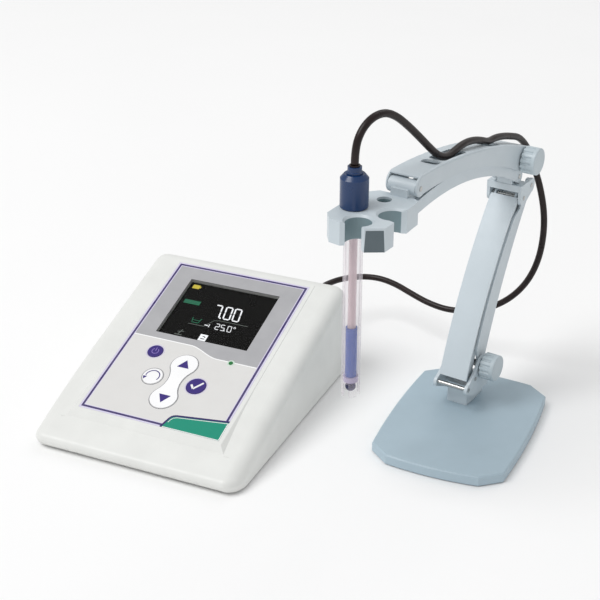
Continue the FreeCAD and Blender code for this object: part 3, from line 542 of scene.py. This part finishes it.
def key_prints():
    """The outlines, halos and generic symbols of the four keys, and the lamp's halo."""
    outline = dog_bone(0.55)
    print_on_label("arrow_key_outline", stroke(outline, 0.5, True), GREY_INK)
    escape = ring(*ESCAPE_KEY, ESCAPE_RADIUS)
    print_on_label("escape_key_outline", stroke(escape, 0.5, True), GREY_INK)
    round_keys = (("power", POWER_KEY, POWER_RADIUS), ("confirm", CONFIRM_KEY, CONFIRM_RADIUS))
    for name, centre, radius in round_keys:
        halo = stroke(ring(*centre, radius), 0.7, True)
        print_on_label(name + "_key_halo", halo, printed(name + "_halo", linear(214, 208, 232)))
    lamp = stroke(ring(*LAMP, 2.3, steps=20), 1.1, True)
    print_on_label("lamp_halo", lamp, printed("lamp_halo", linear(214, 232, 218)))
    up = [(-4.6, ROCKER_UP - 2.6), (4.6, ROCKER_UP - 2.6), (0, ROCKER_UP + 5.0)]
    down = [(-4.6, ROCKER_DOWN + 2.6), (0, ROCKER_DOWN - 5.0), (4.6, ROCKER_DOWN + 2.6)]
    print_on_label("arrow_marks", [up, down], VIOLET, KEY_INK, "arrow_button")
    power = stroke(ring(*POWER_KEY, 2.5, 125, 290, 24), 0.5)
    power += stroke([(-27.3, 64.2), (-27.3, 67.4)], 0.5)
    pale_violet = printed("pale_violet", linear(150, 128, 205))
    print_on_label("power_mark", power, pale_violet, KEY_INK, "power_button")
    back = stroke(ring(*ESCAPE_KEY, 5.2, -30, 215, 24), 0.8)
    head = [(-24.2, 39.6), (-21.0, 39.9), (-22.9, 36.6)]
    print_on_label("escape_mark", back + [head], VIOLET, KEY_INK, "escape_button")
    tick = stroke([(13.6, 41.4), (16.4, 38.0), (21.6, 45.0)], 1.5)
    print_on_label("confirm_mark", tick, WHITE_INK, KEY_INK, "confirm_button")


SEGMENTS = {
    "0": "abcdef",
    "2": "abged",
    "5": "afgcd",
    "7": "abc",
}


def digit(value, x, y, width, height, thick, lean):
    """The lit bars of one seven-segment figure."""

    def spot(across, up):
        return (x + across + lean * (up - height), y + up)

    half = height / 2
    gap = thick * 0.35
    bars = {
        "a": ((gap, height), (width - gap, height)),
        "g": ((gap, half), (width - gap, half)),
        "d": ((gap, 0), (width - gap, 0)),
        "f": ((0, half + gap), (0, height - gap)),
        "b": ((width, half + gap), (width, height - gap)),
        "e": ((0, gap), (0, half - gap)),
        "c": ((width, gap), (width, half - gap)),
    }
    quads = []
    for name in SEGMENTS[value]:
        start, end = bars[name]
        quads += stroke([spot(*start), spot(*end)], thick)
    return quads


FIGURE_LEAN = -0.18
# A figure's width, height and thickness of line.
LARGE_FIGURE = (5.0, 12.4, 1.1)
SMALL_FIGURE = (2.9, 5.6, 0.55)
LARGE_ROW = 110.6
SMALL_ROW = 99.0


def figures(row, size, places):
    """The lit bars of several figures in a row, each given with its left edge."""
    quads = []
    for value, x in places:
        quads += digit(value, x, row, *size, FIGURE_LEAN)
    return quads


def screen_prints():
    """The display's reading, its small temperature and its plain icons."""
    reading = figures(LARGE_ROW, LARGE_FIGURE, (("7", -6.4), ("0", 2.2), ("0", 9.6)))
    reading += stroke([(2.0, 110.1), (2.0, 111.3)], 1.2)
    print_on_label("screen_reading", reading, LIT_WHITE, SCREEN_INK)
    small = figures(SMALL_ROW, SMALL_FIGURE, (("2", 2.2), ("5", 6.6), ("0", 12.0)))
    small += stroke([(10.9, 98.8), (10.9, 99.5)], 0.7)
    small += stroke(ring(17.3, 104.0, 0.7, steps=12), 0.35, True)
    small += stroke([(-6.0, 101.0), (-3.4, 101.0)], 0.9) + stroke([(-2.4, 99.6), (-2.4, 102.4)], 0.6)
    print_on_label("screen_temperature", small, LIT_WHITE, SCREEN_INK)
    rule = [(-19.0, 99.4), (-6.0, 99.4), (-1.0, 107.0), (4.0, 108.0), (26.0, 108.0)]
    print_on_label("screen_rule", stroke(rule, 0.45), LIT_GREY, SCREEN_INK)
    bar = [(-33.0, 118.8), (-19.6, 118.8), (-19.6, 122.8), (-33.0, 122.8)]
    beaker = stroke([(-18.0, 106.2), (-17.0, 101.4), (-11.8, 101.4), (-10.8, 106.2)], 0.6)
    beaker += stroke([(-17.0, 103.8), (-11.8, 103.8)], 0.5)
    print_on_label("screen_green_marks", [bar] + beaker, LIT_GREEN, SCREEN_INK)
    battery = [(-33.8, 135.2), (-28.0, 135.2), (-28.0, 139.2), (-33.8, 139.2)]
    tip = [(-27.8, 136.3), (-27.0, 136.3), (-27.0, 138.1), (-27.8, 138.1)]
    print_on_label("screen_battery", [battery, tip], LIT_YELLOW, SCREEN_INK)
    square = [(-4.2, 85.2), (1.8, 85.2), (1.8, 91.6), (-4.2, 91.6)]
    print_on_label("screen_square", [square], LIT_WHITE, SCREEN_INK)
    mark = stroke([(-2.8, 87.2), (0.4, 87.2)], 0.7)
    mark += stroke([(-2.0, 89.6), (-0.4, 89.6), (0.4, 88.6)], 0.7)
    over_square = (SCREEN_INK[1] - 0.02, SCREEN_INK[1] + 0.02)
    print_on_label("screen_square_mark", mark, DISPLAY, over_square)
    stand = stroke([(-24.0, 86.6), (-18.0, 86.6)], 0.7) + stroke([(-21.4, 86.6), (-19.6, 92.0)], 0.7)
    stand += stroke([(-22.6, 89.4), (-17.8, 90.6)], 0.6)
    print_on_label("screen_stand_mark", stand, LIT_GREY, SCREEN_INK)


# --- details of the stand ----------------------------------------------------

HEAD_LOW = 186.6
RIM_LOW = 200.0
# The prong's front edge, in the arm's frame and in millimetres.
PRONG_RIGHT = (17.2, -158.0)
PRONG_LEFT = (7.2, -164.8)
# Depths of the painted-shade sheet's two faces, and how far its ends are set in at foot and top.
PRONG_SHADE_DEPTHS = (-0.2, 0.12)
PRONG_SHADE_INSETS = ((HEAD_LOW, 0.15), (RIM_LOW, 0.9))
PRONG_SHADE_FACES = ((0, 1, 3, 2), (4, 5, 7, 6), (0, 1, 5, 4), (2, 3, 7, 6), (0, 2, 6, 4), (1, 3, 7, 5))
# Each painted-shade liner's centre, radius, first angle and turn.
STATION_SHADE_ARCS = (
    (10.5, -137.5, 8.6, 84, 182),
    (-1.5, -156.5, 8.0, -44, 267),
    (-5.0, -120.5, 4.6, 0, 180),
    (-5.0, -120.5, 4.6, 180, 180),
)


def paint_prong_shade():
    """A dark grey sheet of painted shade over the holder's front prong face, wider at its foot."""
    right, left = Vector(PRONG_RIGHT), Vector(PRONG_LEFT)
    along = (left - right).normalized()
    out = Vector((along.y, -along.x))
    if out.y > 0:
        out = -out
    corners = []
    for depth in PRONG_SHADE_DEPTHS:
        for height, inset in PRONG_SHADE_INSETS:
            for spot in (right + along * inset, left - along * inset):
                x, y = spot + out * depth
                corners.append(Vector((x, y, height)) * MM)
    mesh = bmesh.new()
    v = [mesh.verts.new(ARM_FRAME @ corner) for corner in corners]
    for face in PRONG_SHADE_FACES:
        mesh.faces.new([v[i] for i in face])
    bmesh.ops.recalc_face_normals(mesh, faces=mesh.faces)
    piece("prong_shade_sheet", mesh, PRONG_SHADE_GREY, "head")


def station_shade_liners():
    """Painted shade: thin darker grey liners on the walls inside the holder's two open stations and its
    small hole.
    """
    outlines = []
    for x, y, radius, start, turn in STATION_SHADE_ARCS:
        outer = ring(x, y, radius, start, turn, 28)
        inner = ring(x, y, radius - 0.06, start, turn, 28)
        outlines.append(outer + inner[::-1])
    prisms("station_shade_liners", outlines, ARM_FRAME, HEAD_LOW, RIM_LOW, STATION_SHADE_GREY, "head")


BOOT_RIBS = 6


def strain_relief():
    """The ribbed boot behind the plug, in place of its plain cone."""
    low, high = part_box("plug_boot")
    middle = Vector(((low[0] + high[0]) / 2, low[1], (low[2] + high[2]) / 2))
    place = Matrix.Translation(middle) @ Matrix.Rotation(-math.pi / 2, 4, "X")
    length = (high[1] - low[1]) / MM
    profile = [(4.5, 0.0), (4.5, 1.4)]
    for i in range(BOOT_RIBS):
        base = 2.0 + (length - 3.2) * i / BOOT_RIBS
        radius = 4.4 - 1.1 * i / BOOT_RIBS
        pitch = (length - 3.2) / BOOT_RIBS
        profile += [(radius - 0.8, base), (radius - 0.8, base + 0.35 * pitch)]
        profile += [(radius, base + 0.5 * pitch), (radius - 0.1, base + 0.9 * pitch)]
    profile += [(2.9, length - 0.9), (2.8, length)]
    boot = lathe("strain_relief", profile, place, CABLE_SHEATH, "root")
    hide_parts("plug_boot")
    return boot


# --- cable -------------------------------------------------------------------

CABLE_RADIUS = 2.4 * MM
CABLE_ROUTE = (
    (0.0648, -0.0823, 0.2280),
    (0.0648, -0.0823, 0.2375),
    (0.0664, -0.0782, 0.2470),
    (0.0696, -0.0702, 0.2530),
    (0.0736, -0.0599, 0.2540),
    (0.0774, -0.0501, 0.2495),
    (0.0814, -0.0399, 0.2410),
    (0.0856, -0.0292, 0.2308),
    (0.0896, -0.0190, 0.2206),
    (0.0928, -0.0110, 0.2134),
    (0.0952, -0.0007, 0.2100),
    (0.0969, 0.0102, 0.2114),
    (0.0987, 0.0215, 0.2122),
    (0.1006, 0.0339, 0.2106),
    (0.1027, 0.0467, 0.2068),
    (0.1044, 0.0576, 0.2024),
    (0.1061, 0.0684, 0.2020),
    (0.1081, 0.0813, 0.1994),
    (0.1102, 0.0941, 0.1956),
    (0.1129, 0.1076, 0.1910),
    (0.1167, 0.1183, 0.1806),
    (0.1210, 0.1238, 0.1655),
    (0.1261, 0.1275, 0.1490),
    (0.1306, 0.1280, 0.1300),
    (0.1318, 0.1280, 0.1120),
    (0.1300, 0.1280, 0.0925),
    (0.1240, 0.1283, 0.0740),
    (0.1135, 0.1288, 0.0580),
    (0.0990, 0.1293, 0.0455),
    (0.0810, 0.1298, 0.0375),
    (0.0620, 0.1306, 0.0340),
    (0.0440, 0.1340, 0.0350),
    (0.0270, 0.1410, 0.0370),
    (0.0110, 0.1490, 0.0385),
    (-0.0050, 0.1535, 0.0390),
    (-0.0205, 0.1510, 0.0385),
    (-0.0330, 0.1415, 0.0380),
    (-0.0400, 0.1280, 0.0380),
    (-0.0419, 0.1175, 0.0380),
    (-0.0419, 0.1103, 0.0380),
)
# Each span ends half way along the run after its last point, as the frame's cable does; a span that
# lies on one body rides on it, and one between two bodies stays fixed where it is drawn.
CABLE_SPANS = (
    ("cable_probe_rise", 3, "electrode", "head"),
    ("cable_head_drop", 8, "head", "upper_arm"),
    ("cable_arm_run", 17, "upper_arm", None),
    ("cable_elbow_turn", 20, "upper_arm", "knuckle"),
    ("cable_back_hang", 24, "knuckle", "lower_arm"),
    ("cable_low_swing", 27, "lower_arm", "turret"),
    ("cable_console_run", 39, "turret", "root"),
)


def smooth_line(points):
    """Points along the NURBS spline that has the route as its control points."""
    curve = bpy.data.curves.new("route", "CURVE")
    curve.dimensions = "3D"
    curve.resolution_u = 16
    spline = curve.splines.new("NURBS")
    spline.points.add(len(points) - 1)
    for target, point in zip(spline.points, points):
        target.co = (*point, 1.0)
    spline.order_u = 3
    spline.use_endpoint_u = True
    holder = placed("route", curve)
    bpy.context.view_layer.update()
    line = bpy.data.meshes.new_from_object(holder.evaluated_get(bpy.context.evaluated_depsgraph_get()))
    found = [vertex.co.copy() for vertex in line.vertices]
    bpy.data.objects.remove(holder)
    bpy.data.curves.remove(curve)
    bpy.data.meshes.remove(line)
    return found


def cable_tube(name, line, aims, material, sides=24):
    """A round tube along a stretch of the line, closed at both ends."""
    mesh = bmesh.new()
    rows = []
    side = aims[0].orthogonal().normalized()
    for spot, aim in zip(line, aims):
        side = (side - aim * side.dot(aim)).normalized()
        other = aim.cross(side)
        row = []
        for i in range(sides):
            angle = 2 * math.pi * i / sides
            out = side * math.cos(angle) + other * math.sin(angle)
            row.append(mesh.verts.new(spot + out * CABLE_RADIUS))
        rows.append(row)
    skin(mesh, rows)
    return shown(name, mesh, material)


def line_aims(line):
    """The direction of the line at each of its points."""
    aims = []
    for i in range(len(line)):
        before, after = line[max(i - 1, 0)], line[min(i + 1, len(line) - 1)]
        aims.append((after - before).normalized())
    return aims


def make_cable(boot):
    """The cable's seven spans, each drawn as a tube in place of the frame's span; a span on one body
    rides on it.
    """
    route = [Vector(point) for point in CABLE_ROUTE]
    line = smooth_line(CABLE_ROUTE)
    aims = line_aims(line)
    begin = 0
    for name, last, first_body, second_body in CABLE_SPANS:
        finish = len(line) - 1
        if last + 1 < len(route):
            middle = (route[last] + route[last + 1]) / 2
            finish = min(range(len(line)), key=lambda i: (line[i] - middle).length)
        stretch, stretch_aims = line[begin : finish + 1], aims[begin : finish + 1]
        span = cable_tube(name + "_sheath", stretch, stretch_aims, CABLE_SHEATH)
        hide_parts(name)
        if second_body:
            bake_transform(span)
        else:
            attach(span, first_body)
        begin = finish


# --- stage, light and camera -------------------------------------------------

FLOOR_HALF = 6.0
LIGHT_AIM = (0, 0, 0.08)
# Each lamp's name, place, diameter and power.
LAMPS = (
    ("key_light", (-2.0, -2.0, 4.2), 2.9, 126),
    ("rear_light", (0.6, 2.6, 3.0), 2.4, 16),
)
SKY_STRENGTH = 0.58


def make_stage():
    """The plain pale floor."""
    mesh = bmesh.new()
    bmesh.ops.create_grid(mesh, x_segments=8, y_segments=8, size=FLOOR_HALF)
    s = Shader("floor_paper")
    base = s.blend(s.noise(4), linear(247, 247, 247), linear(250, 250, 250))
    s.join(base, s.surface.inputs["Base Color"])
    s.set(Roughness=0.9)
    floor = shown("floor", mesh, s.material)


def soft_light(name, place, size, power):
    """A round area lamp turned to the object."""
    light = bpy.data.lights.new(name, "AREA")
    light.shape = "DISK"
    light.size = size
    light.energy = power
    lamp = placed(name, light)
    lamp.location = place
    lamp.rotation_euler = (Vector(LIGHT_AIM) - Vector(place)).to_track_quat("-Z", "Y").to_euler()


def make_lights():
    for lamp in LAMPS:
        soft_light(*lamp)
    world = bpy.data.worlds.new("studio")
    world.use_nodes = True
    backdrop = world.node_tree.nodes["Background"]
    backdrop.inputs["Color"].default_value = (1.0, 1.0, 1.0, 1.0)
    backdrop.inputs["Strength"].default_value = SKY_STRENGTH
    bpy.context.scene.world = world
    bpy.context.scene.view_settings.view_transform = "Standard"


CAMERA_PLACE = (0.3233, -0.7374, 0.4908)
CAMERA_AIM = (-0.0792, 0.1617, 0.0)
CAMERA_LENS = 77.37


def make_camera():
    data = bpy.data.cameras.new("camera")
    data.lens = CAMERA_LENS
    data.sensor_width = 36.0
    data.clip_start = 0.01
    camera = placed("camera", data)
    camera.location = CAMERA_PLACE
    aim = Vector(CAMERA_AIM) - Vector(CAMERA_PLACE)
    camera.rotation_euler = aim.to_track_quat("-Z", "Y").to_euler()
    bpy.context.scene.camera = camera


make_camera()
make_stage()
make_lights()
dress_nodes()
corner_panel()
key_prints()
screen_prints()
paint_prong_shade()
station_shade_liners()
make_cable(strain_relief())
bpy.context.view_layer.update()
